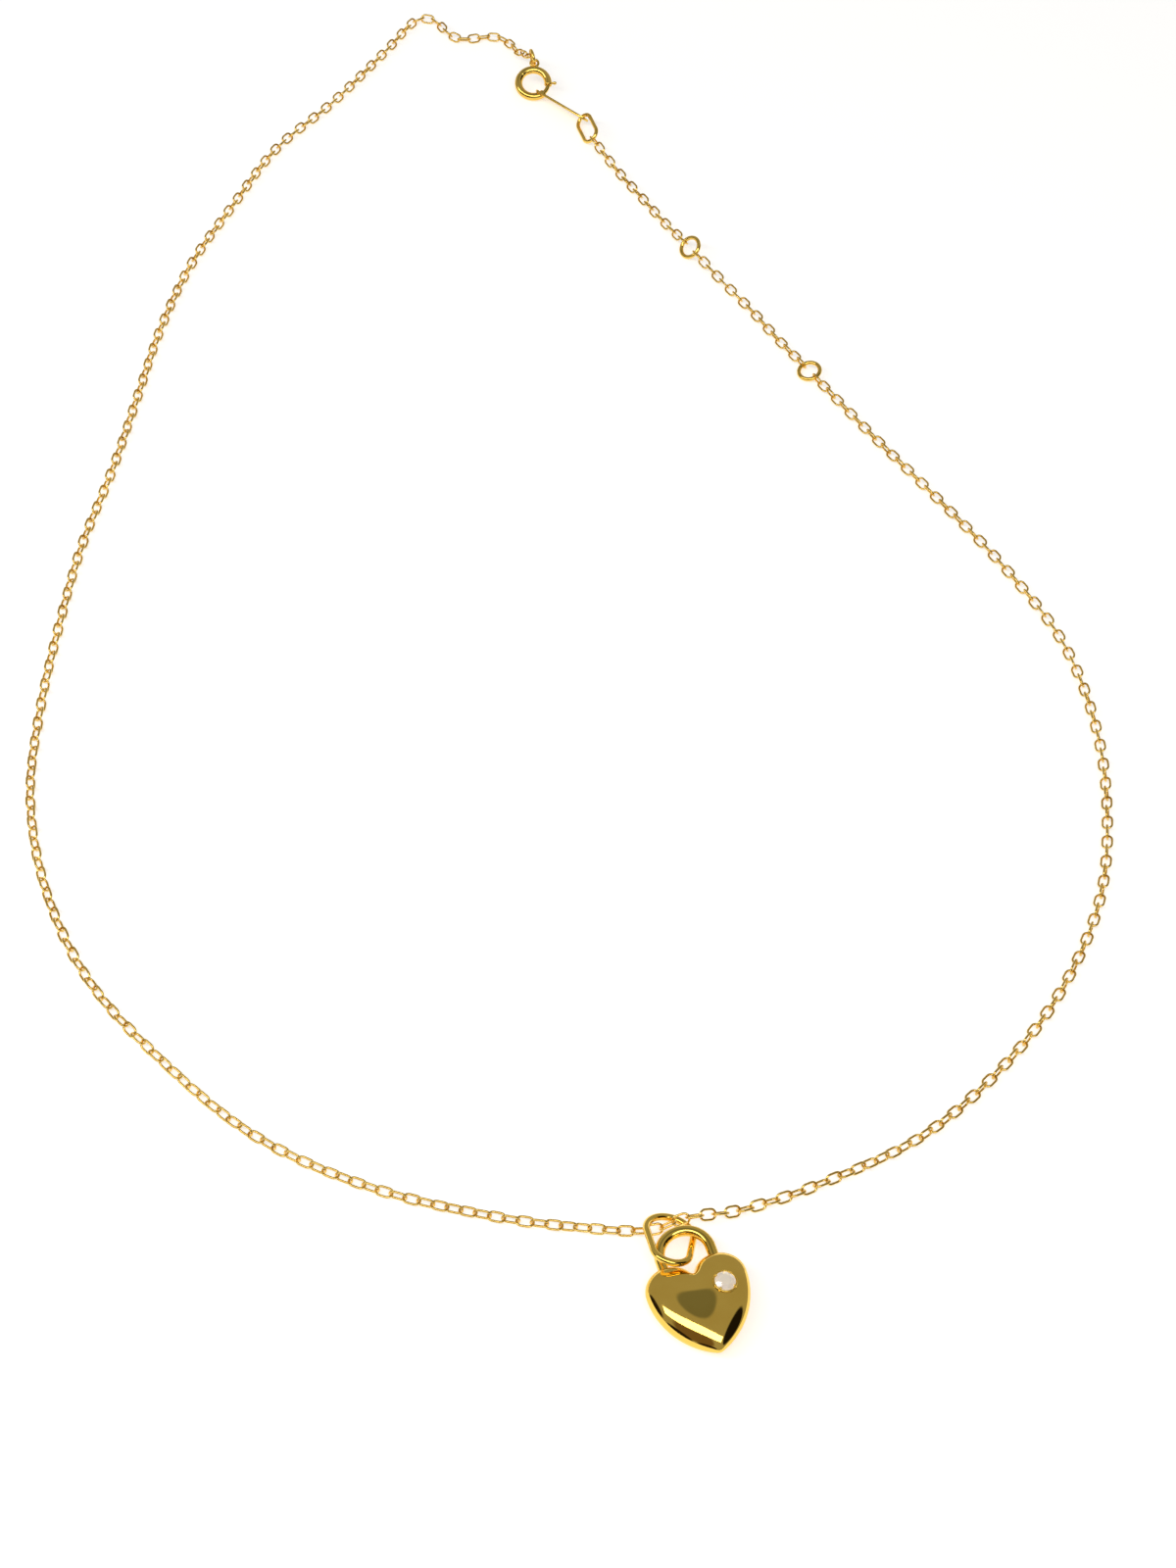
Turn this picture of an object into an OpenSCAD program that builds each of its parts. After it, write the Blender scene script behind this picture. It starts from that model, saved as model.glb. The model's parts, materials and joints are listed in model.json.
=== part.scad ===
// Fine cable-chain necklace with a puffed heart pendant, laid out flat on a table.
// The table is z = 0 and the origin is under the middle of the laid-out chain.
// +Y runs from the pendant towards the clasp, +Z points up from the table.

/* [Chain] */
// Diameter of the chain wire
wire_d = 0.24; // [0.22:0.01:0.25]
// Outer width of one link
link_w = 1.24; // [1.2:0.01:1.3]
// Distance between neighbouring links
link_pitch = 1.34; // [1.33:0.005:1.36]
// Outer diameter of the adjuster rings
adjuster_d = 3; // [2.9:0.05:3.1]
// Wire diameter of the adjuster rings
adjuster_wire = 0.5; // [0.4:0.05:0.5]

/* [Heart] */
// Width of the heart
heart_w = 9.6; // [9.4:0.1:9.8]
// Height of the heart from lobe to tip
heart_h = 9.6; // [9.4:0.1:9.8]
// Thickness of the heart front to back
heart_t = 3.6; // [3.4:0.1:3.7]
// Wall thickness of the two pressed shells
shell_wall = 0.3; // [0.25:0.05:0.4]
// Wire diameter of the shackle
shackle_wire = 1.05; // [0.95:0.05:1.1]
// Diameter of the crystal
crystal_d = 1.96; // [1.8:0.02:2]

/* [Bail] */
// Wire diameter of the bail
bail_wire = 0.7; // [0.6:0.02:0.7]
// Radius of the large end of the bail loop
bail_big_r = 2.25; // [2.2:0.05:2.3]
// Radius of the small end of the bail loop
bail_small_r = 1.75; // [1.7:0.05:1.8]

/* [Clasp] */
// Outer diameter of the spring ring
clasp_d = 4.8; // [4.7:0.1:4.9]
// Outer diameter of the spring ring tube
clasp_tube = 1; // [0.96:0.02:1.02]
// Bore of the spring ring tube
clasp_bore = 0.64; // [0.6:0.02:0.68]
// Thickness of the clasp tag
tag_t = 0.32; // [0.25:0.01:0.35]
// Width of the clasp tag
tag_w = 1.9; // [1.8:0.05:2]

/* [Hidden] */
$fn = 32;
wire_gap = 0.04;
reach = (wire_d + wire_gap) / 2;
link_r = (link_w - wire_d) / 2;
link_straight = link_pitch + 2 * reach - 2 * link_r;
ring_slack = 0.02;
gold = [0.86, 0.68, 0.32];

// Smooth curve through a list of points.
function blend(a, b, c, d, t) = 0.5 * (2 * b + (c - a) * t + (2 * a - 5 * b + 4 * c - d) * t * t
    + (3 * b - a - 3 * c + d) * t * t * t);
function curve(path, i, t) = blend(path[max(i - 1, 0)], path[i], path[i + 1],
    path[min(i + 2, len(path) - 1)], t);
steps = 12;
function dense(path) = [for (i = [0:len(path) - 2], k = [0:steps - 1]) curve(path, i, k / steps),
    path[len(path) - 1]];
function running(points) = [for (i = 0, s = 0; i < len(points);
    s = s + (i + 1 < len(points) ? norm(points[i + 1] - points[i]) : 0), i = i + 1) s];
function table(at, points, axis) = [for (i = [0:len(at) - 1]) [at[i], points[i][axis]]];
function at_length(tables, s) = [lookup(s, tables[0]), lookup(s, tables[1]), lookup(s, tables[2])];

// Contact points between the links of one run, spaced evenly along its route.
function contacts(route, count) =
    let (points = dense(route), at = running(points), total = at[len(at) - 1],
        tables = [for (axis = [0:2]) table(at, points, axis)])
    [for (k = [0:count]) at_length(tables, total * k / count)];

// Main run: clasp end, round the left side, past the pendant, up to the lower adjuster ring.
// Each entry is x, y and the height of the chain axis: low where the links lean at 45 degrees,
// mid and flat where they stand and lie in turn.
low = 0.52;
mid = 0.6;
flat = 0.625;
main_path = [[-17.5, 89.7, 1.8], [-18.4, 90.8, 1.1], [-19.3, 92.1, 0.78], [-20.2, 93.4, 0.66],
    [-21.5, 94.3, 0.58], [-23.3, 94.2, low], [-25, 93.4, low], [-26.6, 93, low],
    [-28.2, 93.9, low], [-29.6, 95.7, low], [-30.8, 96.6, low], [-32.1, 96.5, low],
    [-33.1, 95.4, low], [-34.1, 93, low], [-36, 88, low], [-41, 76.5, low],
    [-46.5, 66, low], [-50, 54, low], [-53, 42.5, low], [-54.5, 30.5, low], [-55, 18, low],
    [-55.5, 6, low], [-56.5, -6.5, low], [-56.5, -18.5, low], [-56, -30.5, low],
    [-54.5, -42.5, low], [-50.5, -54, 0.56], [-44, -64.5, mid], [-35, -73, 0.6], [-25, -80, flat],
    [-13.5, -84, flat], [-1.5, -85.5, flat], [7, -85.5, flat], [10.2, -85.3, 0.58],
    [12, -85, low], [13.2, -84.7, 0.58], [14.5, -84.25, 1.25], [15.8, -83.8, 1.8],
    [17, -83.4, 1.8], [18.4, -82.8, 1.4], [20, -82, 0.85], [22, -81, flat], [27.5, -78, flat],
    [37.5, -71, flat], [45.5, -61.5, flat], [51.5, -51, flat], [55.5, -39, 0.61],
    [56.5, -27, mid], [55.5, -15, mid], [52, -3, mid], [45.5, 7.5, mid], [38, 17, mid],
    [30, 26.5, mid]];
between_path = [[18, 41.5, mid], [14.8, 45.9, 0.56], [11, 50.5, mid]];
end_path = [[3, 60.5, mid], [-0.4, 65.2, low], [-4, 70, mid]];

// Adjuster rings.
adjuster_r = (adjuster_d - adjuster_wire) / 2;
adjuster_hook = adjuster_r - adjuster_wire / 2 - ring_slack;
adjuster_az = 127;
adjuster_dir = [cos(adjuster_az), sin(adjuster_az), 0];
lower_at = [22.1, 36.3, 0.72];
upper_at = [6.4, 55.8, 1.15];

// Oval ring between the chain and the tag.
oval_wire = 0.5;
oval_r = 1.05;
oval_straight = 2.4;
oval_az = 113.4;
oval_roll = -49;
oval_dir = [cos(oval_az), sin(oval_az), 0];
oval_hook = oval_r - oval_wire / 2 - ring_slack;
oval_end = [-7.5, 75, 1.12];
oval_at = oval_end + (oval_hook + oval_straight / 2) * oval_dir;
tag_far = oval_at + (oval_straight / 2 + oval_r) * oval_dir;

// Spring ring clasp.
clasp_at = [-16, 84.3, 1.45];
clasp_tilt = 26;
clasp_r = (clasp_d - clasp_tube) / 2;
clasp_from = -2;
clasp_sweep = 324;
tag_azimuth = -46;
bolt_clear = 0.04;
bolt_d = clasp_bore - 2 * bolt_clear;
bolt_from = -46;
bolt_sweep = 94;
trigger_az = 8;
trigger_d = 0.28;
trigger_rise = 0.3;
trigger_head_d = 0.45;
slot_from = 1.5;
slot_sweep = 56;
slot_w = trigger_d + 2 * bolt_clear;
spring_from = 91;
spring_sweep = 58;
spring_wall = 0.08;
crimp_from = 150;
crimp_sweep = 3;
function clasp_point(az, r) = clasp_at
    + r * [cos(az), sin(az) * cos(clasp_tilt), sin(az) * sin(clasp_tilt)];
eye_wire = 0.34;
eye_r = 0.5;
eye_out = 2.85;
eye_az = 94;
end_ring_wire = 0.4;
end_ring_r = 1;
end_ring_lean = 81;
end_ring_az = 20;
end_ring_dir = [-0.35, 0.93, 0.1];
end_ring_at = clasp_point(eye_az, eye_out) + end_ring_r * end_ring_dir;
end_ring_hook = end_ring_r - end_ring_wire / 2 - ring_slack;
main_start_dir = [-0.26, 0.89, -0.37];
main_start = end_ring_at + end_ring_hook * main_start_dir;

// Tag between the spring ring and the oval ring.
tag_near = clasp_point(tag_azimuth, clasp_r);
tag_roll = -45;
tag_near_hole = 1.5;
tag_far_hole = 1.2;

// Chain runs. The first contact point of each run lies inside its ring.
main_count = 300;
between_count = 17;
end_count = 17;
main_points = contacts(concat([main_start], main_path, [lower_at - adjuster_hook * adjuster_dir]),
    main_count);
between_points = contacts(concat([lower_at + adjuster_hook * adjuster_dir], between_path,
    [upper_at - adjuster_hook * adjuster_dir]), between_count);
end_points = contacts(concat([upper_at + adjuster_hook * adjuster_dir], end_path, [oval_end]),
    end_count);

// Roll of the links about the chain, by link number.
main_rolls = [[0, -10], [10, -42], [134, -45], [150, -25], [162, -5], [180, -4], [188, -45],
    [196, -45], [210, -5], [226, -6], [244, -22], [260, -34], [280, -26], [299, -20]];
// Links sway a little either way of that roll, less over the first few links.
wobble = 5;
wobble_step = 39;
wobble_fade = 10;
function main_roll(k) = lookup(k, main_rolls)
    + wobble * sin(k * wobble_step) * min(1, k / wobble_fade)
    + (k % 2) * 90;
lower_roll = main_roll(main_count - 1) - 90;
upper_roll = -45;
function between_roll(k) = lower_roll + (upper_roll - lower_roll) * k / (between_count - 1)
    + ((k + 1) % 2) * 90;
function end_roll(k) = upper_roll + (oval_roll - upper_roll) * k / (end_count - 1)
    + ((k + 1) % 2) * 90;

// The main run is cut into segments on both sides of the pendant.
centre_from = 187;
centre_to = 203;
left_segments = 11;
right_segments = 6;
function left_cut(i) = round(centre_from * (1 - i / left_segments));
function right_cut(i) = centre_to + round((main_count - centre_to) * i / right_segments);

// Heart, in its own frame: x across, y from tip to notch, z out of the front.
heart_at = [18, -93.1, 1.974];
heart_turn = 22;
heart_tilt = 1;
heart_roll = -9;
lobe_r = 2.5;
tip_r = 0.8;
lobe_x = heart_w / 2 - lobe_r;
lobe_y = heart_h / 2 - lobe_r;
tip_y = tip_r - heart_h / 2;
side_r = (pow(heart_w / 2, 2) + pow(lobe_y - tip_y, 2) - pow(tip_r, 2)) / (heart_w - 2 * tip_r);
side_sweep = atan2(lobe_y - tip_y, side_r - heart_w / 2);
notch_az = acos(-lobe_x / lobe_r);
lobe_steps = 11;
side_steps = 10;
tip_steps = 4;
half_outline = concat(
    [for (k = [0:lobe_steps - 1]) let (a = notch_az * (1 - k / lobe_steps))
        [lobe_x + lobe_r * cos(a), lobe_y + lobe_r * sin(a)]],
    [for (k = [0:side_steps - 1]) let (a = -side_sweep * k / side_steps)
        [heart_w / 2 - side_r + side_r * cos(a), lobe_y + side_r * sin(a)]],
    [for (k = [0:tip_steps]) let (a = -side_sweep - (90 - side_sweep) * k / tip_steps)
        [tip_r * cos(a), tip_y + tip_r * sin(a)]]);
outline = concat(half_outline,
    [for (k = [len(half_outline) - 2:-1:1]) [-half_outline[k].x, half_outline[k].y]]);
dome_steps = 10;
fullness = 2.3;
function dome_z(r, t) = t * sqrt(1 - pow(r, fullness));
function dome(scale_xy, t) = [for (j = [dome_steps:-1:1], p = outline)
    let (r = sin(90 * j / dome_steps)) [p.x * r * scale_xy, p.y * r * scale_xy, dome_z(r, t)]];
wall_factor = 2.1;
shell_scale = 1 - wall_factor * shell_wall / heart_w;

// Shackle.
shackle_r = 2.4;
shackle_y = heart_h / 2 + 0.8;
shackle_leg = 1.8;
seam_clear = 0.01;

// Crystal and its seat.
crystal_r = crystal_d / 2;
crystal_at = [2.4, 1.02, 1.62];
crystal_lean = 12;
table_r = 0.56 * crystal_r;
crown_h = 0.36 * crystal_r;
pavilion_h = 0.86 * crystal_r;
girdle_top = 0.04;
girdle_low = -0.06;
seat_r = crystal_r + 0.17;
seat_bore_r = crystal_r + 0.04;
seat_depth = 0.95;
seat_hole_r = 0.6 * crystal_r;
seat_rim = 0.05;
seat_ledge = -0.14;
seat_cone = -0.44;
bead_d = 0.28;
bead_out = seat_r - bead_d / 2 + 0.03;
bead_up = 0.08;
bead_from = 45;

// Bail: egg-shaped loop lying over the left leg of the shackle and under its crown.
bail_foot = [14.62, -89.7, 3.24];
bail_turn = 4;
bail_dip = 21.3;
bail_roll = 9.4;
bail_reach = 2.81;
bail_flare = asin((bail_big_r - bail_small_r) / bail_reach);
bail_side = bail_reach * cos(bail_flare);
// Angle by which each bend stops short of a side, inside the solder bead that joins them
bail_gap = 1;
bail_bead = bail_wire + 0.04;

// Closed loop of round wire with two straight sides along x.
module oval(r, straight, wire) {
    for (end = [0, 180]) {
        rotate([0, 0, end])
            translate([straight / 2, 0, 0])
                rotate_extrude(angle = 180, start = -90)
                    translate([r, 0])
                        circle(d = wire);
        rotate([0, 0, end])
            translate([0, r, 0])
                rotate([0, 90, 0])
                    cylinder(d = wire, h = straight, center = true);
    }
}

module hoop(r, wire) {
    rotate_extrude()
        translate([r, 0])
            circle(d = wire);
}

module arc_rod(r, wire, from, sweep) {
    rotate_extrude(angle = sweep, start = from)
        translate([r, 0])
            circle(d = wire);
}

module link_between(a, b, roll) {
    d = b - a;
    translate((a + b) / 2)
        rotate([0, -asin(d.z / norm(d)), atan2(d.y, d.x)])
            rotate([roll, 0, 0])
                oval(link_r, link_straight, wire_d);
}

module main_links(from, to) {
    color(gold)
        for (k = [from:to - 1])
            link_between(main_points[k], main_points[k + 1], main_roll(k));
}

module chain_between() {
    color(gold)
        for (k = [0:between_count - 1])
            link_between(between_points[k], between_points[k + 1], between_roll(k));
}

module chain_end() {
    color(gold)
        for (k = [0:end_count - 1])
            link_between(end_points[k], end_points[k + 1], end_roll(k));
}

module adjuster_ring(at, roll) {
    color(gold)
        translate(at)
            rotate([0, 0, adjuster_az])
                rotate([roll, 0, 0])
                    hoop(adjuster_r, adjuster_wire);
}

module tag_ring() {
    color(gold)
        translate(oval_at)
            rotate([0, 0, oval_az])
                rotate([oval_roll, 0, 0])
                    oval(oval_r, oval_straight, oval_wire);
}

module clasp_tag() {
    d = tag_far - tag_near;
    color(gold)
        translate(tag_near)
            rotate([0, -asin(d.z / norm(d)), atan2(d.y, d.x)])
                rotate([tag_roll, 0, 0])
                    translate([0, 0, -tag_t / 2])
                        linear_extrude(tag_t)
                            difference() {
                                union() {
                                    translate([0, -tag_w / 2])
                                        square([norm(d), tag_w]);
                                    circle(d = tag_w);
                                    translate([norm(d), 0])
                                        circle(d = tag_w);
                                }
                                circle(d = tag_near_hole);
                                translate([norm(d), 0])
                                    circle(d = tag_far_hole);
                            }
}

module end_ring() {
    color(gold)
        translate(end_ring_at)
            rotate([0, end_ring_lean, end_ring_az])
                hoop(end_ring_r, end_ring_wire);
}

module in_clasp() {
    translate(clasp_at)
        rotate([clasp_tilt, 0, 0])
            children();
}

module clasp_body() {
    color(gold)
        in_clasp()
            difference() {
                arc_rod(clasp_r, clasp_tube, clasp_from, clasp_sweep);
                arc_rod(clasp_r, clasp_bore, clasp_from - 1, crimp_from - clasp_from + 1);
                arc_rod(clasp_r, clasp_bore, crimp_from + crimp_sweep,
                    clasp_sweep + clasp_from - crimp_from - crimp_sweep + 1);
                rotate_extrude(angle = slot_sweep, start = slot_from)
                    translate([clasp_r, -slot_w / 2])
                        square([clasp_tube, slot_w]);
            }
}

module clasp_eye() {
    color(gold)
        in_clasp()
            difference() {
                translate(eye_out * [cos(eye_az), sin(eye_az), 0])
                    hoop(eye_r, eye_wire);
                hoop(clasp_r, clasp_tube);
            }
}

module clasp_bolt() {
    color(gold)
        in_clasp()
            arc_rod(clasp_r, bolt_d, bolt_from, bolt_sweep);
}

module clasp_trigger() {
    top = clasp_r + clasp_tube / 2 + trigger_rise;
    color(gold)
        in_clasp()
            difference() {
                rotate([0, 0, trigger_az]) {
                    translate([clasp_r, 0, 0])
                        rotate([0, 90, 0])
                            cylinder(d = trigger_d, h = top - clasp_r);
                    translate([top, 0, 0])
                        sphere(d = trigger_head_d);
                }
                hoop(clasp_r, bolt_d);
            }
}

module clasp_spring() {
    color([0.75, 0.75, 0.75])
        in_clasp()
            difference() {
                arc_rod(clasp_r, bolt_d, spring_from, spring_sweep);
                arc_rod(clasp_r, bolt_d - 2 * spring_wall, spring_from - 1, spring_sweep + 2);
            }
}

module in_heart() {
    translate(heart_at)
        rotate([0, 0, heart_turn])
            rotate([heart_tilt, 0, 0])
                rotate([0, heart_roll, 0])
                    children();
}

module shell() {
    n = len(outline);
    inner = n * dome_steps + 1;
    points = concat(dome(1, heart_t / 2), [[0, 0, heart_t / 2]],
        dome(shell_scale, heart_t / 2 - shell_wall), [[0, 0, heart_t / 2 - shell_wall]]);
    faces = [for (j = [0:dome_steps - 2], i = [0:n - 1])
        let (a = j * n + i, b = j * n + (i + 1) % n)
        each [[a, b, b + n], [a, b + n, a + n],
            [inner + b, inner + a, inner + b + n], [inner + b + n, inner + a, inner + a + n]]];
    last = (dome_steps - 1) * n;
    caps = [for (i = [0:n - 1]) let (a = last + i, b = last + (i + 1) % n)
        each [[a, b, inner - 1], [inner + b, inner + a, inner + inner - 1]]];
    rim = [for (i = [0:n - 1]) let (b = (i + 1) % n)
        each [[b, i, inner + i], [b, inner + i, inner + b]]];
    difference() {
        polyhedron(points, concat(faces, caps, rim), convexity = 6);
        for (side = [-1, 1])
            translate([side * shackle_r, shackle_y, 0])
                rotate([90, 0, 0])
                    cylinder(d = shackle_wire + 2 * seam_clear, h = 2 * shackle_leg);
    }
}

module heart_front_shell() {
    color(gold)
        in_heart()
            difference() {
                shell();
                translate(crystal_at)
                    rotate([0, crystal_lean, 0])
                        cylinder(r = seat_r + seam_clear, h = 3 * seat_depth, center = true);
            }
}

module heart_back_shell() {
    color(gold)
        in_heart()
            mirror([0, 0, 1])
                shell();
}

module shackle() {
    color(gold)
        in_heart() {
            translate([0, shackle_y, 0])
                arc_rod(shackle_r, shackle_wire, 0, 180);
            for (side = [-1, 1])
                translate([side * shackle_r, shackle_y, 0])
                    rotate([90, 0, 0])
                        cylinder(d = shackle_wire, h = shackle_leg);
        }
}

module gem() {
    rotate_extrude()
        polygon([[0, -pavilion_h], [crystal_r, girdle_low], [crystal_r, girdle_top],
            [table_r, crown_h], [0, crown_h]]);
}

module crystal() {
    color([0.9, 0.93, 0.98])
        in_heart()
            translate(crystal_at)
                rotate([0, crystal_lean, 0])
                    gem();
}

module crystal_seat() {
    color(gold)
        in_heart()
            translate(crystal_at)
                rotate([0, crystal_lean, 0])
                    difference() {
                        union() {
                            rotate_extrude()
                                polygon([[seat_hole_r, -seat_depth], [seat_r, -seat_depth],
                                    [seat_r, seat_rim], [seat_bore_r, seat_rim],
                                    [seat_bore_r, seat_ledge], [seat_hole_r, seat_cone]]);
                            for (az = [bead_from:90:bead_from + 270])
                                rotate([0, 0, az])
                                    translate([bead_out, 0, bead_up])
                                        sphere(d = bead_d);
                        }
                        gem();
                    }
}

module bail() {
    color(gold)
        translate(bail_foot)
            rotate([-bail_dip, 0, bail_turn])
                rotate([0, bail_roll, 0])
                    translate([0, bail_small_r + bail_reach, 0]) {
                        arc_rod(bail_big_r, bail_wire, -bail_flare + bail_gap,
                            180 + 2 * (bail_flare - bail_gap));
                        translate([0, -bail_reach, 0])
                            arc_rod(bail_small_r, bail_wire, 180 + bail_flare + bail_gap,
                                180 - 2 * (bail_flare + bail_gap));
                        for (side = [0, 1])
                            mirror([side, 0, 0])
                                rotate([0, 0, -bail_flare])
                                    translate([bail_big_r, 0, 0]) {
                                        rotate([90, 0, 0])
                                            cylinder(d = bail_wire, h = bail_side);
                                        sphere(d = bail_bead);
                                        translate([0, -bail_side, 0])
                                            sphere(d = bail_bead);
                                    }
                    }
}

heart_front_shell();
heart_back_shell();
shackle();
crystal();
crystal_seat();
bail();
main_links(centre_from, centre_to);  // chain_centre
for (i = [1:left_segments])
    main_links(left_cut(i), left_cut(i - 1));
for (i = [1:right_segments])
    main_links(right_cut(i - 1), right_cut(i));
adjuster_ring(lower_at, lower_roll);  // adjuster_ring_lower
chain_between();
adjuster_ring(upper_at, upper_roll);  // adjuster_ring_upper
chain_end();
tag_ring();
clasp_tag();
end_ring();
clasp_body();
clasp_eye();
clasp_bolt();
clasp_trigger();
clasp_spring();
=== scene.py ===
"""Looks of a fine gold necklace with a puffed heart pendant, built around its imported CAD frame."""

import json
import math

import bmesh
import bpy
import numpy as np
from mathutils import Matrix, Vector

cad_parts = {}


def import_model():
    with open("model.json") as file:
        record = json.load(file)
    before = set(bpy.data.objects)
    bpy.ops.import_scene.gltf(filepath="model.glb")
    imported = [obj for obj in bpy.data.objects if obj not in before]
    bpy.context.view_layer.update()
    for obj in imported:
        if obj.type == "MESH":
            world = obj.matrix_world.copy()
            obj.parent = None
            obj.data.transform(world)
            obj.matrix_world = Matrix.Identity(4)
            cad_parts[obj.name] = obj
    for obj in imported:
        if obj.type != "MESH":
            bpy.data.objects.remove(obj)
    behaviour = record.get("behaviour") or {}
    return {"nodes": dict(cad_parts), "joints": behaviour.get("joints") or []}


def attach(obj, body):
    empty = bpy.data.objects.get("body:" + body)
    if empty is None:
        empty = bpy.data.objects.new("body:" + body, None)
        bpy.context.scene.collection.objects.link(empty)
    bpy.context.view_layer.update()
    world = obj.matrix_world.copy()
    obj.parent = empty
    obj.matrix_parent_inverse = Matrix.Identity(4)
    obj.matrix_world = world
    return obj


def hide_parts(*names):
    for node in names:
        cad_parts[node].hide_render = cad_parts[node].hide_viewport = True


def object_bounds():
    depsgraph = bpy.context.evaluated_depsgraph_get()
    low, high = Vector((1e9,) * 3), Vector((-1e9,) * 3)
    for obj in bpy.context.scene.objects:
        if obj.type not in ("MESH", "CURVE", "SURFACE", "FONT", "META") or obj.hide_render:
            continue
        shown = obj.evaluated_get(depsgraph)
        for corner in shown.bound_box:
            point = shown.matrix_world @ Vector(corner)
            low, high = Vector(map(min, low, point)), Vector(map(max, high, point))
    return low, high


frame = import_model()
cad_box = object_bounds()
MM = 0.001
JOINTS = {j["name"]: j for j in frame["joints"]}
NODES = frame["nodes"]

# Sizes in millimetres and angles in degrees. R is the radius of a wire's centre line.
LINK_R, LINK_STRAIGHT, LINK_WIRE = 0.5, 0.62, 0.24
ADJUSTER_R, ADJUSTER_WIRE = 1.25, 0.5
OVAL_R, OVAL_STRAIGHT, OVAL_WIRE = 1.05, 2.4, 0.5
END_R, END_WIRE = 1.0, 0.4
EYE_R, EYE_WIRE = 0.5, 0.34
CLASP_R, TUBE, TUBE_BORE, BOLT = 1.9, 1.0, 0.64, 0.56
TUBE_START, TUBE_SWEEP, STOP_DIMPLE = -2.0, 324.0, 151.5
BOLT_START, BOLT_SWEEP, PIN_ANGLE = -46.0, 94.0, 8.0
SPRING_FROM, SPRING_TO, SPRING_TURNS, SPRING_R, SPRING_WIRE = 92.0, 148.0, 26, 0.2, 0.08
HEART_W, HEART_H, HEART_T, WALL = 9.6, 9.6, 3.6, 0.3
LOBE_R, TIP_R = 2.5, 0.8
SHACKLE_R, SHACKLE_WIRE, SHACKLE_UP, SHACKLE_LEG = 2.4, 1.05, 5.6, 1.8
BAIL_WIRE, BAIL_BIG, BAIL_SMALL, BAIL_REACH = 0.7, 2.25, 1.75, 2.81
GEM_R, GEM_AT, GEM_LEAN = 0.98, (2.4, 1.02, 1.62), 12.0
TAG_W, TAG_T, TAG_NEAR_HOLE, TAG_FAR_HOLE = 1.9, 0.32, 1.5, 1.2


# ---------------------------------------------------------------- materials
def shader(nt, kind, **values):
    """New shader node with the given inputs; an underscore stands for a space in a name."""
    made = nt.nodes.new("ShaderNode" + kind)
    for key, value in values.items():
        made.inputs[key.replace("_", " ")].default_value = value
    return made


def new_material(name, **values):
    """Material with a Principled surface: the material, its node tree and its surface node."""
    mat = bpy.data.materials.new(name)
    mat.use_nodes = True
    bsdf = mat.node_tree.nodes["Principled BSDF"]
    for key, value in values.items():
        bsdf.inputs[key.replace("_", " ")].default_value = value
    return mat, mat.node_tree, bsdf


def gold(name, tint, deep, rough, grain, scratch):
    """Polished gold plate: slow colour drift, fine polishing grain, a few wear marks."""
    mat, nt, bsdf = new_material(name, Metallic=1.0)
    coord = shader(nt, "TexCoord")
    drift = shader(nt, "TexNoise", Scale=260.0, Detail=4.0)
    ramp = shader(nt, "ValToRGB")
    low, high = ramp.color_ramp.elements
    low.position, low.color = 0.32, (*deep, 1)
    high.position, high.color = 0.62, (*tint, 1)
    fine = shader(nt, "TexNoise", Scale=grain, Detail=6.0)
    spread = shader(nt, "MapRange", From_Min=0.3, From_Max=0.75, To_Min=rough * 0.6,
                    To_Max=rough * 1.7)
    stretch = shader(nt, "Mapping", Scale=(1.0, 9.0, 1.0), Rotation=(0.3, 0.2, 0.6))
    marks = shader(nt, "TexNoise", Scale=900.0, Detail=5.0)
    bump = shader(nt, "Bump", Strength=scratch, Distance=0.00001)
    link = nt.links.new
    for texture in (drift, fine, stretch):
        link(coord.outputs["Object"], texture.inputs["Vector"])
    link(stretch.outputs["Vector"], marks.inputs["Vector"])
    link(drift.outputs["Fac"], ramp.inputs["Fac"])
    link(ramp.outputs["Color"], bsdf.inputs["Base Color"])
    link(fine.outputs["Fac"], spread.inputs["Value"])
    link(spread.outputs["Result"], bsdf.inputs["Roughness"])
    link(marks.outputs["Fac"], bump.inputs["Height"])
    link(bump.outputs["Normal"], bsdf.inputs["Normal"])
    return mat


def crystal_glass(name):
    """Clear cut crystal with faint inner cloud and a painted glow that keeps it bright."""
    # The white emission is painted light: the stone glows as if brightly lit, though it is no lamp.
    mat, nt, bsdf = new_material(name, IOR=2.1, Transmission_Weight=0.6, Roughness=0.015,
                                 Emission_Color=(0.9, 0.95, 1.0, 1), Emission_Strength=0.2)
    coord = shader(nt, "TexCoord")
    cloud = shader(nt, "TexNoise", Scale=1500.0)
    ramp = shader(nt, "ValToRGB")
    ramp.color_ramp.elements[0].color = (0.86, 0.9, 0.96, 1)
    ramp.color_ramp.elements[1].color = (1.0, 1.0, 1.0, 1)
    nt.links.new(coord.outputs["Object"], cloud.inputs["Vector"])
    nt.links.new(cloud.outputs["Fac"], ramp.inputs["Fac"])
    nt.links.new(ramp.outputs["Color"], bsdf.inputs["Base Color"])
    return mat


CHAIN_GOLD = gold("chain_gold", (0.90, 0.62, 0.17), (0.76, 0.49, 0.11), 0.16, 5000.0, 0.25)
PENDANT_GOLD = gold("pendant_gold", (0.95, 0.64, 0.125), (0.89, 0.58, 0.10), 0.05, 3500.0, 0.06)
FITTING_GOLD = gold("fittings_gold", (0.93, 0.63, 0.14), (0.82, 0.53, 0.10), 0.12, 4200.0, 0.25)
STEEL = gold("spring_steel", (0.62, 0.62, 0.64), (0.5, 0.5, 0.52), 0.3, 4200.0, 0.3)
GLASS = crystal_glass("crystal")


# ---------------------------------------------------------------- mesh helpers
def unit(v):
    """The vector at length 1."""
    v = np.asarray(v, float)
    return v / np.linalg.norm(v)


def node_points(name):
    """Vertices of a CAD node in millimetres."""
    me = NODES[name].data
    co = np.zeros(len(me.vertices) * 3)
    me.vertices.foreach_get("co", co)
    return co.reshape(-1, 3) / MM


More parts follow.
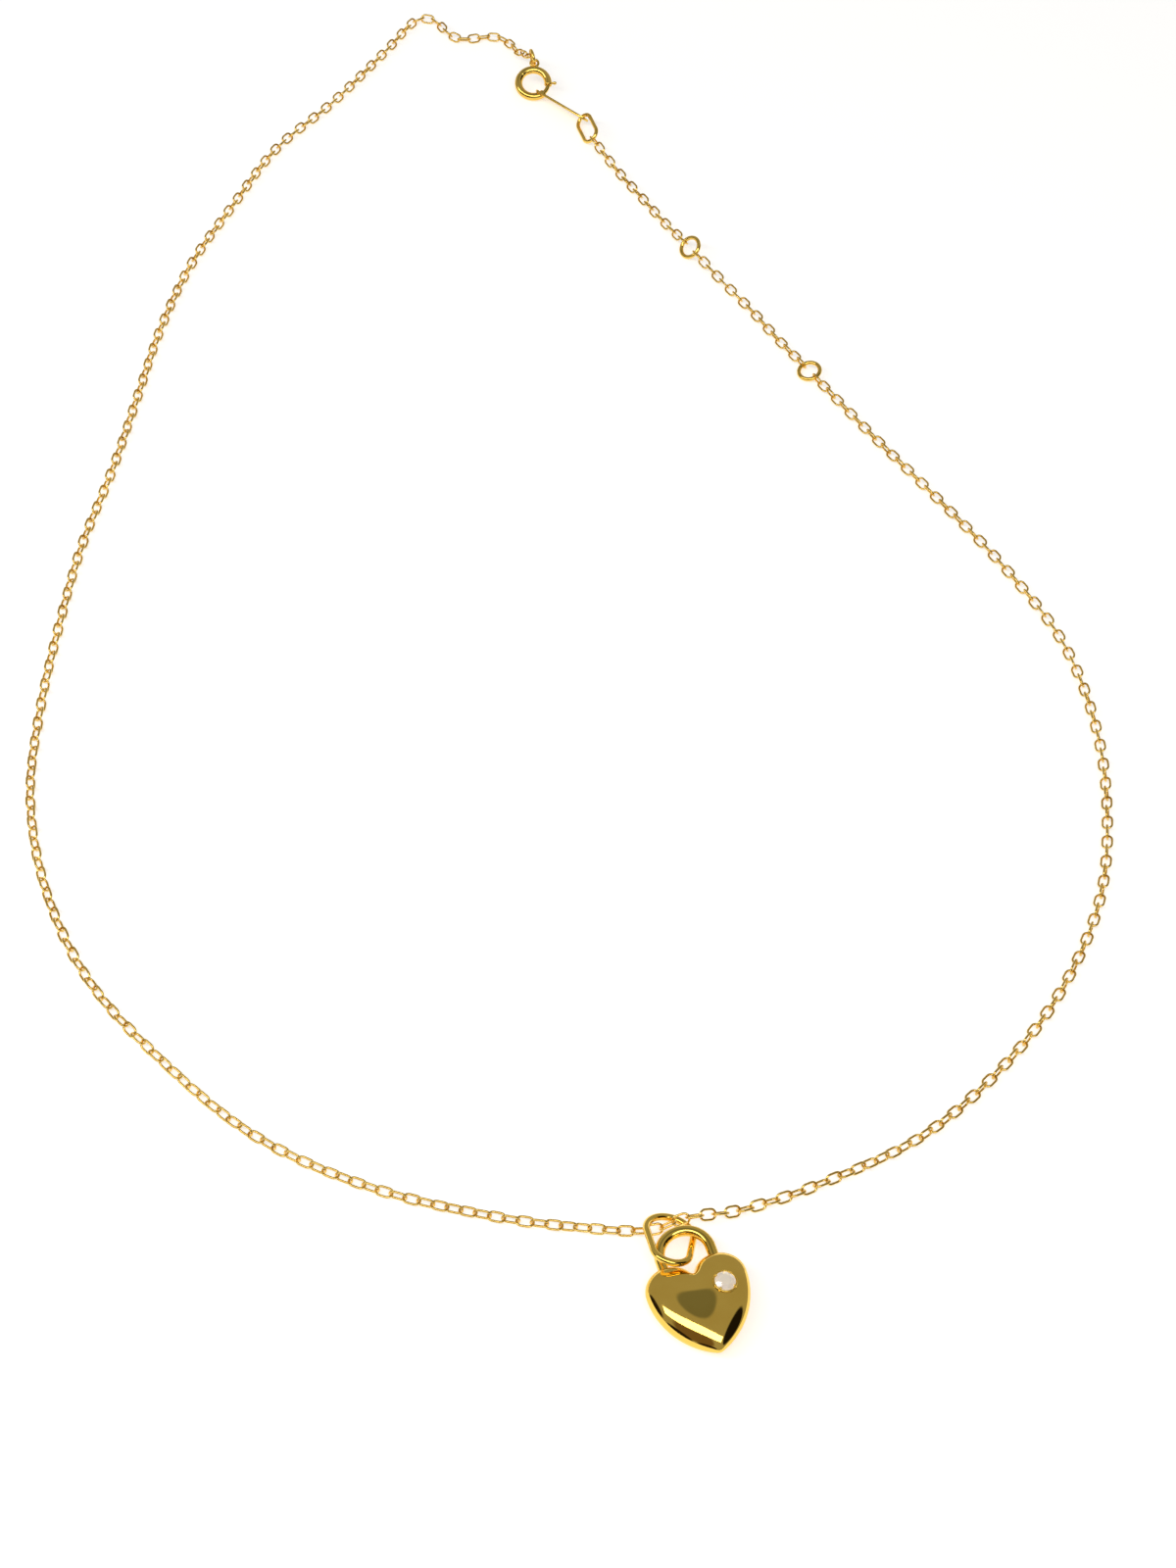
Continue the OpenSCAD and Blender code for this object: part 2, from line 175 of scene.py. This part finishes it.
def islands(name):
    """Vertex groups of the separate solids in a CAD node, in millimetres."""
    bm = bmesh.new()
    bm.from_mesh(NODES[name].data)
    bmesh.ops.remove_doubles(bm, verts=bm.verts, dist=1e-7)
    bm.verts.ensure_lookup_table()
    seen, out = set(), []
    for v in bm.verts:
        if v.index in seen:
            continue
        stack, group = [v], []
        seen.add(v.index)
        while stack:
            w = stack.pop()
            group.append(np.array(w.co) / MM)
            for e in w.link_edges:
                o = e.other_vert(w)
                if o.index not in seen:
                    seen.add(o.index)
                    stack.append(o)
        out.append(np.array(group))
    bm.free()
    return out


def flat_frame(points):
    """Centre, long axis, short in-plane axis and normal of a flat loop of points."""
    lo, hi = points.min(0), points.max(0)
    axes = np.linalg.svd(points - points.mean(0), full_matrices=False)[2]
    spans = [(points @ a).max() + (points @ a).min() for a in axes]
    centre = sum(s / 2 * a for s, a in zip(spans, axes))
    return centre, axes[0], axes[1], axes[2]


def make(name, verts, faces, mat, body, nodes, smooth=True):
    """A finished piece from vertices in millimetres."""
    me = bpy.data.meshes.new(name)
    me.from_pydata((np.asarray(verts) * MM).tolist(), [], [tuple(f) for f in faces])
    me.validate()
    bm = bmesh.new()
    bm.from_mesh(me)
    bmesh.ops.recalc_face_normals(bm, faces=bm.faces)
    bm.to_mesh(me)
    bm.free()
    if smooth:
        me.polygons.foreach_set("use_smooth", [True] * len(me.polygons))
    me.materials.append(mat)
    ob = bpy.data.objects.new(name, me)
    bpy.context.scene.collection.objects.link(ob)
    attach(ob, body)
    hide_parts(*nodes)
    return ob


def quads(count, sides, closed):
    """Faces between neighbouring rings of a swept or turned shape."""
    faces = []
    for i in range(count if closed else count - 1):
        j = (i + 1) % count
        for k in range(sides):
            m = (k + 1) % sides
            faces.append((i * sides + k, i * sides + m, j * sides + m, j * sides + k))
    return faces


def tube(path, radius, up, closed=True, caps=True, sides=20, round_ends=False):
    """Round wire along a path: vertices and faces. Its radius may vary along it."""
    path = np.asarray(path, float)
    n = len(path)
    radius = np.broadcast_to(np.asarray(radius, float), (n,))
    if closed:
        tan = np.roll(path, -1, 0) - np.roll(path, 1, 0)
    else:
        tan = np.gradient(path, axis=0)
    tan /= np.linalg.norm(tan, axis=1)[:, None]
    side = np.cross(tan, np.asarray(up, float))
    side /= np.linalg.norm(side, axis=1)[:, None]
    top = np.cross(side, tan)
    a = np.linspace(0, 2 * np.pi, sides, endpoint=False)[None, :, None]
    rings = path[:, None, :] + radius[:, None, None] * (
        np.cos(a) * side[:, None, :] + np.sin(a) * top[:, None, :])
    verts, faces = rings.reshape(-1, 3), quads(n, sides, closed)
    if caps and not closed:
        for i, d in ((0, -1.0), (n - 1, 1.0)):
            centre = path[i] + (d * tan[i] * radius[i] * 0.35 if round_ends else 0)
            verts = np.vstack([verts, centre])
            c = len(verts) - 1
            for k in range(sides):
                faces.append((c, i * sides + k, i * sides + (k + 1) % sides))
    return verts, faces


def join(parts):
    """Several lots of vertices and faces as one."""
    verts, faces, at = [], [], 0
    for v, f in parts:
        verts.append(v)
        faces += [tuple(i + at for i in q) for q in f]
        at += len(v)
    return np.vstack(verts), faces


def placed(local, origin, x, y, z):
    """Local points moved into the frame of an origin and three axes."""
    local = np.asarray(local, float)
    return origin + local[:, :1] * x + local[:, 1:2] * y + local[:, 2:3] * z


def oval_path(r, straight, arc=14, side=5):
    """Closed path of two half circles and two straight sides."""
    t = np.linspace(-np.pi / 2, np.pi / 2, arc)
    a = np.c_[straight / 2 + r * np.cos(t), r * np.sin(t)]
    u = np.linspace(straight / 2, -straight / 2, side + 2)[1:-1]
    half = np.vstack([a, np.c_[u, np.full(len(u), r)]])
    return np.c_[np.vstack([half, -half]), np.zeros(2 * len(half))]


def circle_path(r, start=0.0, sweep=360.0, count=96):
    """Arc of a circle from a start angle, or the whole closed circle."""
    t = np.radians(start + np.linspace(0, sweep, count, endpoint=sweep < 360))
    return np.c_[r * np.cos(t), r * np.sin(t), np.zeros(count)]


def lathe(profile, sides=48):
    """Closed turned shape from (r, z) pairs."""
    profile = np.asarray(profile, float)
    a = np.linspace(0, 2 * np.pi, sides, endpoint=False)
    verts = np.vstack([np.c_[r * np.cos(a), r * np.sin(a), np.full(sides, z)] for r, z in profile])
    return verts, quads(len(profile), sides, True)


# ---------------------------------------------------------------- chain
def chain_piece(node):
    """Every link of a chain segment as drawn oval wire with a small solder joint."""
    local = oval_path(LINK_R, LINK_STRAIGHT)
    n = len(local)
    thick = np.full(n, LINK_WIRE / 2)
    joint = n // 4 + 7
    parts = []
    for k, pts in enumerate(islands(node)):
        centre, x, y, z = flat_frame(pts)
        r = thick.copy()
        r[(joint + (k % 2) * n // 2) % n] *= 0.93
        parts.append(tube(placed(local, centre, x, y, z), r, z, sides=12))
    verts, faces = join(parts)
    make(node + "_links", verts, faces, CHAIN_GOLD, node, [node])


for name in sorted(NODES):
    if name.startswith("chain"):
        chain_piece(name)


# ---------------------------------------------------------------- plain rings
def ring_piece(node, r, wire, straight=0.0):
    """Jump ring with its cut showing as a fine gap line."""
    centre, x, y, z = flat_frame(node_points(node))
    local = oval_path(r, straight, 44, 14) if straight else circle_path(r)
    radius = np.full(len(local), wire / 2)
    cut = len(local) // 3
    for step, dip in ((-1, 0.97), (0, 0.9), (1, 0.97)):
        radius[cut + step] *= dip
    verts, faces = tube(placed(local, centre, x, y, z), radius, z, sides=24)
    make(node + "_wire", verts, faces, FITTING_GOLD, node, [node])


ring_piece("adjuster_ring_lower", ADJUSTER_R, ADJUSTER_WIRE)
ring_piece("adjuster_ring_upper", ADJUSTER_R, ADJUSTER_WIRE)
ring_piece("tag_ring", OVAL_R, OVAL_WIRE, OVAL_STRAIGHT)
ring_piece("end_ring", END_R, END_WIRE)


# ---------------------------------------------------------------- spring ring clasp
bolt_joint = JOINTS["clasp_bolt_slide"]
clasp_at = np.array(bolt_joint["pos_m"]) / MM
clasp_z = unit(bolt_joint["axis"])
clasp_x = unit(np.array([1.0, 0, 0]) - clasp_z[0] * clasp_z)
clasp_y = np.cross(clasp_z, clasp_x)


def in_clasp(local):
    """Points of the clasp's own frame, whose Z is the axis of its ring."""
    return placed(local, clasp_at, clasp_x, clasp_y, clasp_z)


def clasp_body():
    """Hollow C-shaped tube with rolled lips at the gap and a dimple over the spring stop."""
    count, sides = 150, 32
    path = in_clasp(circle_path(CLASP_R, TUBE_START, TUBE_SWEEP, count))
    angle = TUBE_START + np.linspace(0, TUBE_SWEEP, count)
    outer = TUBE / 2 - 0.035 * np.exp(-((angle - STOP_DIMPLE) / 2.2) ** 2)
    for end in (TUBE_START, TUBE_START + TUBE_SWEEP):
        outer -= 0.05 * np.exp(-((angle - end) / 1.2) ** 2)
    skin, faces = tube(path, outer, clasp_z, closed=False, caps=False, sides=sides)
    bore, _ = tube(path, TUBE_BORE / 2, clasp_z, closed=False, caps=False, sides=sides)
    n = len(skin)
    faces += [tuple(i + n for i in reversed(f)) for f in faces]
    for base in (0, (count - 1) * sides):
        for k in range(sides):
            m = (k + 1) % sides
            faces.append((base + k, base + m, base + m + n, base + k + n))
    make("clasp_ring", np.vstack([skin, bore]), faces, FITTING_GOLD, "clasp", ["clasp_body"])


def clasp_bolt():
    """Bolt sliding in the tube, its nose rounded, and the thumb pin."""
    path = in_clasp(circle_path(CLASP_R, BOLT_START, BOLT_SWEEP, 60))
    radius = np.full(len(path), BOLT / 2)
    radius[:3] *= (0.72, 0.9, 0.97)
    verts, faces = tube(path, radius, clasp_z, closed=False, sides=24, round_ends=True)
    make("clasp_bolt_rod", verts, faces, FITTING_GOLD, "bolt", ["clasp_bolt"])
    # Thumb pin: its distance from the clasp's centre, and its radius there.
    a = math.radians(PIN_ANGLE)
    out = math.cos(a) * clasp_x + math.sin(a) * clasp_y
    dist = np.array([2.18, 2.4, 2.5, 2.56, 2.62, 2.7, 2.8, 2.9, 2.96, 3.0])
    size = np.array([0.14, 0.14, 0.14, 0.15, 0.19, 0.215, 0.22, 0.19, 0.13, 0.05])
    verts, faces = tube(clasp_at + dist[:, None] * out, size, clasp_z, closed=False)
    make("clasp_thumb_pin", verts, faces, FITTING_GOLD, "bolt", ["clasp_trigger"])


def clasp_eye():
    """Small closed eye soldered to the outside of the tube."""
    centre = flat_frame(node_points("clasp_eye"))[0]
    away = unit(centre - clasp_at - np.dot(centre - clasp_at, clasp_z) * clasp_z)
    side = np.cross(clasp_z, away)
    far = (node_points("clasp_eye") @ away).max()
    at = centre + away * (far - centre @ away - EYE_R - EYE_WIRE / 2)
    path = placed(circle_path(EYE_R, 0, 360, 48), at, away, side, clasp_z)
    verts, faces = tube(path, EYE_WIRE / 2, clasp_z, sides=18)
    make("clasp_eye_wire", verts, faces, FITTING_GOLD, "clasp", ["clasp_eye"])


def clasp_spring():
    """Fine coil inside the tube."""
    count = 420
    t = np.radians(np.linspace(SPRING_FROM, SPRING_TO, count))
    turn = np.linspace(0, 2 * np.pi * SPRING_TURNS, count)
    r = CLASP_R + SPRING_R * np.cos(turn)
    path = in_clasp(np.c_[r * np.cos(t), r * np.sin(t), SPRING_R * np.sin(turn)])
    verts, faces = tube(path, SPRING_WIRE / 2, clasp_z + 0.01 * clasp_x, closed=False, sides=8)
    make("clasp_spring_coil", verts, faces, STEEL, "clasp", ["clasp_spring"])


def clasp_tag():
    """Flat stamped tag with two holes and softened edges."""
    swivel = JOINTS["tag_swivel"]
    far = np.array(swivel["pos_m"]) / MM
    pts = node_points("clasp_tag")
    normal = flat_frame(pts)[3]
    along = unit(swivel["axis"])
    normal = unit(normal - np.dot(normal, along) * along)
    across = np.cross(normal, along)
    span = (pts @ along).max() - TAG_W / 2 - far @ along
    bm = bmesh.new()

    def loop(cx, r, lo, hi, count, end=True):
        return [(cx + r * math.cos(t), r * math.sin(t))
                for t in np.radians(np.linspace(lo, hi, count, endpoint=end))]

    outer = loop(0, TAG_W / 2, 90, 270, 28) + loop(span, TAG_W / 2, -90, 90, 28)
    holes = [loop(0, TAG_FAR_HOLE / 2, 0, 360, 40, False),
             loop(span, TAG_NEAR_HOLE / 2, 0, 360, 40, False)]
    edges = []
    for ring in [outer] + holes:
        vs = [bm.verts.new((x, y, -TAG_T / 2)) for x, y in ring]
        edges += [bm.edges.new((vs[i], vs[(i + 1) % len(vs)])) for i in range(len(vs))]
    face = bmesh.ops.triangle_fill(bm, use_beauty=True, use_dissolve=False, edges=edges)
    flat = [g for g in face["geom"] if isinstance(g, bmesh.types.BMFace)]
    up = bmesh.ops.extrude_face_region(bm, geom=flat)
    bmesh.ops.translate(bm, vec=(0, 0, TAG_T),
                        verts=[g for g in up["geom"] if isinstance(g, bmesh.types.BMVert)])
    bmesh.ops.recalc_face_normals(bm, faces=bm.faces)
    sharp = [e for e in bm.edges if len(e.link_faces) == 2 and e.calc_face_angle(0) > 1.0]
    bmesh.ops.bevel(bm, geom=sharp, offset=0.06, segments=3, profile=0.5, affect="EDGES")
    bm.verts.ensure_lookup_table()
    verts = placed([v.co[:] for v in bm.verts], far, along, across, normal)
    faces = [[v.index for v in f.verts] for f in bm.faces]
    bm.free()
    ob = make("clasp_tag_plate", verts, faces, FITTING_GOLD, "tag", ["clasp_tag"])
    for p in ob.data.polygons:
        p.use_smooth = len(p.vertices) == 4


clasp_body()
clasp_bolt()
clasp_eye()
clasp_spring()
clasp_tag()


# ---------------------------------------------------------------- heart pendant
sway = JOINTS["heart_slide_round_bail"]
arch_at = np.array(sway["pos_m"]) / MM
heart_z = unit(sway["axis"])
shell_mid = node_points("heart_back_shell").mean(0)
heart_y = arch_at - shell_mid
heart_y = unit(heart_y - np.dot(heart_y, heart_z) * heart_z)
_, ax0, ax1, _ = flat_frame(node_points("shackle"))
# The shackle is symmetrical, so its own axes give the exact direction of the heart's axis.
best = max((ax0, -ax0, ax1, -ax1), key=lambda v: float(np.dot(v, heart_y)))
heart_y = unit(best - np.dot(best, heart_z) * heart_z)
heart_x = np.cross(heart_y, heart_z)
heart_o = arch_at - SHACKLE_UP * heart_y


def in_heart(local):
    """Points of the heart's own frame: X to its right, Y up to the shackle, Z out of its front."""
    return placed(local, heart_o, heart_x, heart_y, heart_z)


def heart_outline(count):
    """Evenly spaced points round the heart from the notch over the right lobe."""
    # Lobe centre (lx, ly), tip centre (0, ty), and side arcs tangent to both circles.
    x, h = HEART_W / 2, HEART_H / 2
    lx, ly, ty = x - LOBE_R, h - LOBE_R, TIP_R - h
    side = (x * x + (ly - ty) ** 2 - TIP_R ** 2) / (2 * (x - TIP_R))
    sweep = math.atan2(ly - ty, side - x)
    notch = math.acos(-lx / LOBE_R)
    a = np.linspace(notch, 0, 200)
    pts = [np.c_[lx + LOBE_R * np.cos(a), ly + LOBE_R * np.sin(a)]]
    a = np.linspace(0, -sweep, 200)[1:]
    pts.append(np.c_[x - side + side * np.cos(a), ly + side * np.sin(a)])
    a = np.linspace(-sweep, -math.pi / 2, 60)[1:]
    pts.append(np.c_[TIP_R * np.cos(a), ty + TIP_R * np.sin(a)])
    half = np.vstack(pts)
    s = np.r_[0, np.cumsum(np.linalg.norm(np.diff(half, axis=0), axis=1))]
    even = np.linspace(0, s[-1], count // 2 + 1)
    half = np.c_[np.interp(even, s, half[:, 0]), np.interp(even, s, half[:, 1])]
    return np.vstack([half, half[-2:0:-1] * (-1, 1)])


def pillow(outline, rings):
    """Inflated height over the outline: the square root of a membrane under even load."""
    n = len(outline)
    r = np.sin(np.linspace(0, np.pi / 2, rings + 1))[1:]
    pts = np.vstack([[[0.0, 0.0]]] + [outline * k for k in r])
    tris = [(0, 1 + i, 1 + (i + 1) % n) for i in range(n)]
    for j in range(rings - 1):
        for i in range(n):
            a, b = 1 + j * n + i, 1 + j * n + (i + 1) % n
            tris += [(a, a + n, b + n), (a, b + n, b)]
    tri = np.array(tris)
    p = pts[tri]
    rows, cols, vals = [], [], []
    for k in range(3):
        u = p[:, (k + 1) % 3] - p[:, k]
        v = p[:, (k + 2) % 3] - p[:, k]
        cross = u[:, 0] * v[:, 1] - u[:, 1] * v[:, 0]
        area = np.abs(cross) / 2
        cot = (u * v).sum(1) / np.abs(cross) / 2
        rows += [tri[:, (k + 1) % 3], tri[:, (k + 2) % 3]]
        cols += [tri[:, (k + 2) % 3], tri[:, (k + 1) % 3]]
        vals += [cot, cot]
    rows, cols, vals = map(np.concatenate, (rows, cols, vals))
    size = len(pts)
    diag = np.bincount(rows, vals, size)
    load = sum(np.bincount(tri[:, k], area / 3, size) for k in range(3))
    free = np.arange(size) < size - n

    def stiffness(x):
        return np.where(free, diag * x - np.bincount(rows, vals * x[cols], size), 0)

    # Conjugate gradients, scaled by the diagonal.
    x = np.zeros(size)
    res = np.where(free, load, 0)
    step = res / diag
    dot = (res * step).sum()
    for _ in range(900):
        ax = stiffness(step)
        alpha = dot / (step * ax).sum()
        x += alpha * step
        res = res - alpha * ax
        pre = res / diag
        new = (res * pre).sum()
        if new < 1e-14:
            break
        step = pre + new / dot * step
        dot = new
    x = np.clip(x, 0, None)
    return pts, tri, np.sqrt(x / x.max())


def heart_shells():
    """Front and back halves, each a thin pressed shell with its own inner face."""
    outline = heart_outline(256)
    pts, tri, h = pillow(outline, 44)
    n, size = len(outline), len(pts)
    inner_scale = 1 - 2.1 * WALL / HEART_W
    for side, node in ((1, "heart_front_shell"), (-1, "heart_back_shell")):
        out = np.c_[pts, side * HEART_T / 2 * h]
        inn = np.c_[pts * inner_scale, side * (HEART_T / 2 - WALL) * h]
        faces = [tuple(t) for t in tri] + [tuple(t + size) for t in tri[:, ::-1]]
        rim = size - n
        for i in range(n):
            m = (i + 1) % n
            faces.append((rim + i, rim + m, rim + m + size, rim + i + size))
        make(node + "_skin", in_heart(np.vstack([out, inn])), faces, PENDANT_GOLD, "heart", [node])


def shackle():
    """Round wire loop soldered into the tops of the lobes."""
    arch = circle_path(SHACKLE_R, 0, 180, 72)
    drop = np.linspace(0, SHACKLE_LEG, 14)[1:]
    right = np.c_[np.full(len(drop), SHACKLE_R), -drop, np.zeros(len(drop))]
    path = np.vstack([right[::-1], arch, right * (-1, 1, 1)]) + (0, SHACKLE_UP, 0)
    verts, faces = tube(in_heart(path), SHACKLE_WIRE / 2, heart_z, closed=False, sides=32)
    make("shackle_wire", verts, faces, PENDANT_GOLD, "heart", ["shackle"])


def bail():
    """Egg-shaped loop lying over the shackle's left foot and under its crown."""
    pts = node_points("bail")
    _, long_axis, _, normal = flat_frame(pts)
    y = long_axis if long_axis[1] > 0 else -long_axis
    z = normal if normal[2] > 0 else -normal
    x = np.cross(y, z)
    top = (pts @ y).max() - BAIL_WIRE / 2 - BAIL_BIG
    mid = ((pts @ x).max() + (pts @ x).min()) / 2
    level = ((pts @ z).max() + (pts @ z).min()) / 2
    centre = top * y + mid * x + level * z
    flare = math.degrees(math.asin((BAIL_BIG - BAIL_SMALL) / BAIL_REACH))
    big = circle_path(BAIL_BIG, -flare, 180 + 2 * flare, 70)
    small = circle_path(BAIL_SMALL, 180 + flare, 180 - 2 * flare, 44) - (0, BAIL_REACH, 0)
    t = np.linspace(0, 1, 18)[1:-1, None]
    path = np.vstack([big, big[-1] + (small[0] - big[-1]) * t,
                      small, small[-1] + (big[0] - small[-1]) * t])
    verts, faces = tube(placed(path, centre, x, y, z), BAIL_WIRE / 2, z, sides=28)
    make("bail_loop", verts, faces, PENDANT_GOLD, "bail", ["bail"])


def gem_frame():
    """Place and axes of the stone, leaning a little off the front of the heart."""
    lean = math.radians(GEM_LEAN)
    x = math.cos(lean) * heart_x - math.sin(lean) * heart_z
    z = math.sin(lean) * heart_x + math.cos(lean) * heart_z
    at = heart_o + GEM_AT[0] * heart_x + GEM_AT[1] * heart_y + GEM_AT[2] * heart_z
    return at, x, heart_y, z


def crystal():
    """Round brilliant: table, star, kite and girdle facets over a pointed back."""
    at, x, y, z = gem_frame()
    pts = []

    def ring(r, h, count, turn):
        for k in range(count):
            a = 2 * math.pi * (k + turn) / count
            pts.append((r * math.cos(a), r * math.sin(a), h))

    # Radius and height of each ring of corners, from the table down to the point.
    ring(0.55 * GEM_R, 0.36 * GEM_R, 8, 0.5)
    ring(0.78 * GEM_R, 0.235 * GEM_R, 8, 0.0)
    ring(GEM_R, 0.04, 16, 0.0)
    ring(GEM_R, -0.06, 16, 0.0)
    ring(0.5 * GEM_R, -0.47 * GEM_R, 8, 0.5)
    pts.append((0, 0, -0.86 * GEM_R))
    bm = bmesh.new()
    for p in pts:
        bm.verts.new(p)
    bmesh.ops.convex_hull(bm, input=bm.verts)
    bmesh.ops.dissolve_limit(bm, angle_limit=0.01, verts=bm.verts, edges=bm.edges)
    bm.verts.index_update()
    verts = placed([v.co[:] for v in bm.verts], at, x, y, z)
    faces = [[v.index for v in f.verts] for f in bm.faces]
    bm.free()
    make("crystal_cut", verts, faces, GLASS, "heart", ["crystal"], smooth=False)


def crystal_seat():
    """Cup round the stone with four raised beads."""
    at, x, y, z = gem_frame()
    seat, bore = GEM_R + 0.17, GEM_R + 0.02
    ring = lathe([(0.6 * GEM_R, -0.95), (seat, -0.95), (seat, 0.0), (seat - 0.03, 0.05),
                  (bore + 0.03, 0.055), (bore, 0.03), (bore, -0.12), (0.6 * GEM_R, -0.44)])
    parts = [ring]
    for k in range(4):
        a = math.radians(45 + 90 * k)
        out = np.array([math.cos(a), math.sin(a), 0])
        foot = out * (seat - 0.08) + (0, 0, -0.1)
        tip = out * (GEM_R - 0.1) + (0, 0, 0.17)
        steps = np.linspace(0, 1, 9)[:, None]
        path = foot + (tip - foot) * steps + (0, 0, 1) * np.sin(steps * np.pi) * 0.06
        size = 0.13 * np.sqrt(np.clip(1 - (steps[:, 0] * 0.98) ** 3, 0.02, 1))
        parts.append(tube(path, size, (-out[1], out[0], 0.01), closed=False, sides=14,
                          round_ends=True))
    verts, faces = join(parts)
    make("crystal_cup", placed(verts, at, x, y, z), faces, PENDANT_GOLD, "heart", ["crystal_seat"])


heart_shells()
shackle()
bail()
crystal()
crystal_seat()


# ---------------------------------------------------------------- floor, light, camera
FLOOR_SIZE, FLOOR_GAP, FLOOR_GLOW = 3.0, 0.00001, 0.5
# Colour of the room, and the patches the gold mirrors: colour, direction from the pendant,
# and the angles at which each patch is full and gone.
ROOM = (0.36, 0.35, 0.33, 1)
ROOM_PATCHES = (
    ((0.17, 0.18, 0.18, 1), (-0.25, 0.24, 0.94), 15, 19),
    ((0.16, 0.11, 0.07, 1), (-0.46, -0.66, 0.58), 22, 30),
    ((0.012, 0.010, 0.008, 1), (0.83, -0.18, 0.52), 22, 26),
    ((0.02, 0.014, 0.010, 1), (-1.0, -0.05, 0.1), 12, 17),
    ((0.02, 0.014, 0.010, 1), (-0.75, -0.65, 0.05), 14, 18),
    ((0.03, 0.02, 0.015, 1), (-0.2, -0.97, 0.1), 14, 18),
)
CAMERA_AT = (0.00184, -0.23505, 0.2396)
CAMERA_PITCH, CAMERA_ROLL, CAMERA_LENS = 49.62, -6.877, 69.04


def floor():
    """Plain white table just under the necklace."""
    bm = bmesh.new()
    bmesh.ops.create_grid(bm, x_segments=4, y_segments=4, size=FLOOR_SIZE)
    me = bpy.data.meshes.new("table")
    bm.to_mesh(me)
    bm.free()
    ob = bpy.data.objects.new("table", me)
    ob.location.z = min(0.0, cad_box[0].z) - FLOOR_GAP
    bpy.context.scene.collection.objects.link(ob)
    mat, _, _ = new_material("table_white", Base_Color=(0.9, 0.9, 0.9, 1), Roughness=0.7,
                             Specular_IOR_Level=0.1, Emission_Color=(1, 1, 1, 1),
                             Emission_Strength=FLOOR_GLOW)
    me.materials.append(mat)


def soft_box(name, direction, along, distance, width, height, power):
    """Rectangular studio light seen from the pendant in the given direction."""
    out = Vector(unit(direction))
    x = Vector(unit(along))
    x = (x - x.dot(out) * out).normalized()
    data = bpy.data.lights.new(name, "AREA")
    data.shape = "RECTANGLE"
    data.size, data.size_y = width, height
    data.energy = power
    ob = bpy.data.objects.new(name, data)
    m = Matrix((x, out.cross(x), out)).transposed().to_4x4()
    m.translation = Vector(heart_o * MM) + out * distance
    ob.matrix_world = m
    ob.visible_camera = False
    bpy.context.scene.collection.objects.link(ob)


def world():
    """Even grey studio with darker patches for the gold to mirror."""
    w = bpy.data.worlds.new("studio")
    bpy.context.scene.world = w
    w.use_nodes = True
    nt = w.node_tree
    coord = shader(nt, "TexCoord")
    link = nt.links.new

    def cone(direction, inner, outer):
        """1 inside a cone round a direction, fading to 0 at its outer angle."""
        dot = nt.nodes.new("ShaderNodeVectorMath")
        dot.operation = "DOT_PRODUCT"
        dot.inputs[1].default_value = tuple(unit(direction))
        edge = shader(nt, "MapRange", From_Min=math.cos(math.radians(outer)),
                      From_Max=math.cos(math.radians(inner)))
        edge.interpolation_type = "SMOOTHSTEP"
        link(coord.outputs["Generated"], dot.inputs[0])
        link(dot.outputs["Value"], edge.inputs["Value"])
        return edge.outputs["Result"]

    base = nt.nodes.new("ShaderNodeRGB").outputs[0]
    base.default_value = ROOM
    for colour, direction, inner, outer in ROOM_PATCHES:
        mix = shader(nt, "MixRGB", Color2=colour)
        link(cone(direction, inner, outer), mix.inputs["Fac"])
        link(base, mix.inputs["Color1"])
        base = mix.outputs["Color"]
    link(base, nt.nodes["Background"].inputs["Color"])
    nt.nodes["Background"].inputs["Strength"].default_value = 1.0


def camera():
    """Portrait view from above, rolled a little, as a hand-held camera stands."""
    pitch, roll = math.radians(CAMERA_PITCH), math.radians(CAMERA_ROLL)
    level = Vector((1, 0, 0))
    down = Vector((0, -math.sin(pitch), -math.cos(pitch)))
    forward = Vector((0, math.cos(pitch), -math.sin(pitch)))
    right = math.cos(roll) * level + math.sin(roll) * down
    up = math.sin(roll) * level - math.cos(roll) * down
    data = bpy.data.cameras.new("photo_view")
    data.sensor_width = 36.0
    data.lens = CAMERA_LENS
    data.clip_start, data.clip_end = 0.01, 20.0
    ob = bpy.data.objects.new("photo_view", data)
    m = Matrix((right, up, -forward)).transposed().to_4x4()
    m.translation = CAMERA_AT
    ob.matrix_world = m
    bpy.context.scene.collection.objects.link(ob)
    bpy.context.scene.camera = ob


floor()
world()
soft_box("window", (-0.275, -0.39, 0.88), (1.38, -0.38, 0.26), 0.7, 1.35, 0.2, 3.5)
bpy.context.scene.view_settings.view_transform = "Standard"
camera()
